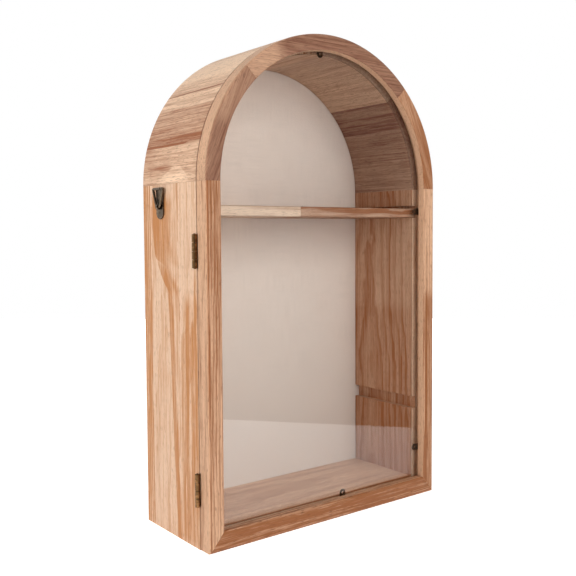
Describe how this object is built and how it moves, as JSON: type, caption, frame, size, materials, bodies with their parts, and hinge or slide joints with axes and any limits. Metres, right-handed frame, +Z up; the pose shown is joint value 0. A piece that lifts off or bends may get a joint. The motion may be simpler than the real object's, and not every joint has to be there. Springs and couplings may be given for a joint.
{
  "type": "shadow box frame",
  "caption": "Arched wooden display cabinet with a glazed door hinged on the left, a shelf held in grooves, a cloth-covered back and a ring hanger on each side.",
  "frame": {"origin": "under the middle of the base: centre of the bounding box in X and Y, with Z = 0 on the surface the cabinet stands on", "axes": "+Z up along the sides, -Y out of the glazed door, +X towards the side away from the hinges"},
  "size_m": [0.2512, 0.098, 0.4],
  "materials": {
    "side_wood": "oiled pale brown paulownia-like wood with open straight and cathedral grain",
    "arch_wood": "oiled brown wood, grain running front to back on every stave",
    "door_wood": "oiled reddish-brown wood with eased edges",
    "shelf_wood": "oiled brown wood, two boards end to end",
    "back_wood": "raw pale plywood",
    "linen": "fine off-white linen weave, glued flat",
    "glass": "clear polished pane",
    "aged_brass": "dark aged brass",
    "dark_bronze": "dark bronzed steel",
    "bright_steel": "plain bright steel"
  },
  "bodies": {
    "case": {"side_panel_left": "side_wood", "side_panel_right": "side_wood", "bottom_board": "side_wood", "arch_stave_01": "arch_wood", "arch_stave_02": "arch_wood", "arch_stave_03": "arch_wood", "arch_stave_04": "arch_wood", "arch_stave_05": "arch_wood", "arch_stave_06": "arch_wood", "arch_stave_07": "arch_wood", "arch_stave_08": "arch_wood", "arch_stave_09": "arch_wood", "arch_stave_10": "arch_wood", "arch_stave_11": "arch_wood", "arch_stave_12": "arch_wood", "back_board": "back_wood", "backing_linen": "linen", "shelf_board_left": "shelf_wood", "shelf_board_right": "shelf_wood", "back_brad_low_left": "bright_steel", "back_brad_low_right": "bright_steel", "back_brad_arch_left": "bright_steel", "back_brad_arch_right": "bright_steel", "catch_magnet": "bright_steel", "hinge_upper_case_leaf": "aged_brass", "hinge_upper_pin": "aged_brass", "hinge_upper_case_screw_1": "aged_brass", "hinge_upper_case_screw_2": "aged_brass", "hinge_lower_case_leaf": "aged_brass", "hinge_lower_pin": "aged_brass", "hinge_lower_case_screw_1": "aged_brass", "hinge_lower_case_screw_2": "aged_brass", "hanger_strap_left": "dark_bronze", "hanger_screw_left": "dark_bronze", "hanger_strap_right": "dark_bronze", "hanger_screw_right": "dark_bronze"},
    "door": {"door_stile_left": "door_wood", "door_stile_right": "door_wood", "door_rail_bottom": "door_wood", "door_arch_left": "door_wood", "door_arch_top": "door_wood", "door_arch_right": "door_wood", "glass_pane": "glass", "glazing_point_left_upper": "dark_bronze", "glazing_point_left_lower": "dark_bronze", "glazing_point_right_upper": "dark_bronze", "glazing_point_right_lower": "dark_bronze", "glazing_point_bottom": "dark_bronze", "glazing_point_crown": "dark_bronze", "catch_strike_disc": "bright_steel", "hinge_upper_door_leaf": "aged_brass", "hinge_upper_door_screw_1": "aged_brass", "hinge_upper_door_screw_2": "aged_brass", "hinge_lower_door_leaf": "aged_brass", "hinge_lower_door_screw_1": "aged_brass", "hinge_lower_door_screw_2": "aged_brass"},
    "hanger_ring_left": {"hanger_ring_left": "dark_bronze"},
    "hanger_ring_right": {"hanger_ring_right": "dark_bronze"}
  },
  "joints": [
    {"name": "door_hinge", "type": "hinge", "parent": "case", "child": "door", "pos_m": [-0.1231, -0.0352, 0.2], "axis": [0, 0, -1], "range_deg": [0, 180]},
    {"name": "ring_left_fold", "type": "hinge", "parent": "case", "child": "hanger_ring_left", "pos_m": [-0.1235, 0.019, 0.2614], "axis": [0, -1, 0], "range_deg": [0, 180]},
    {"name": "ring_right_fold", "type": "hinge", "parent": "case", "child": "hanger_ring_right", "pos_m": [0.1235, 0.019, 0.2614], "axis": [0, 1, 0], "range_deg": [0, 180]}
  ]
}
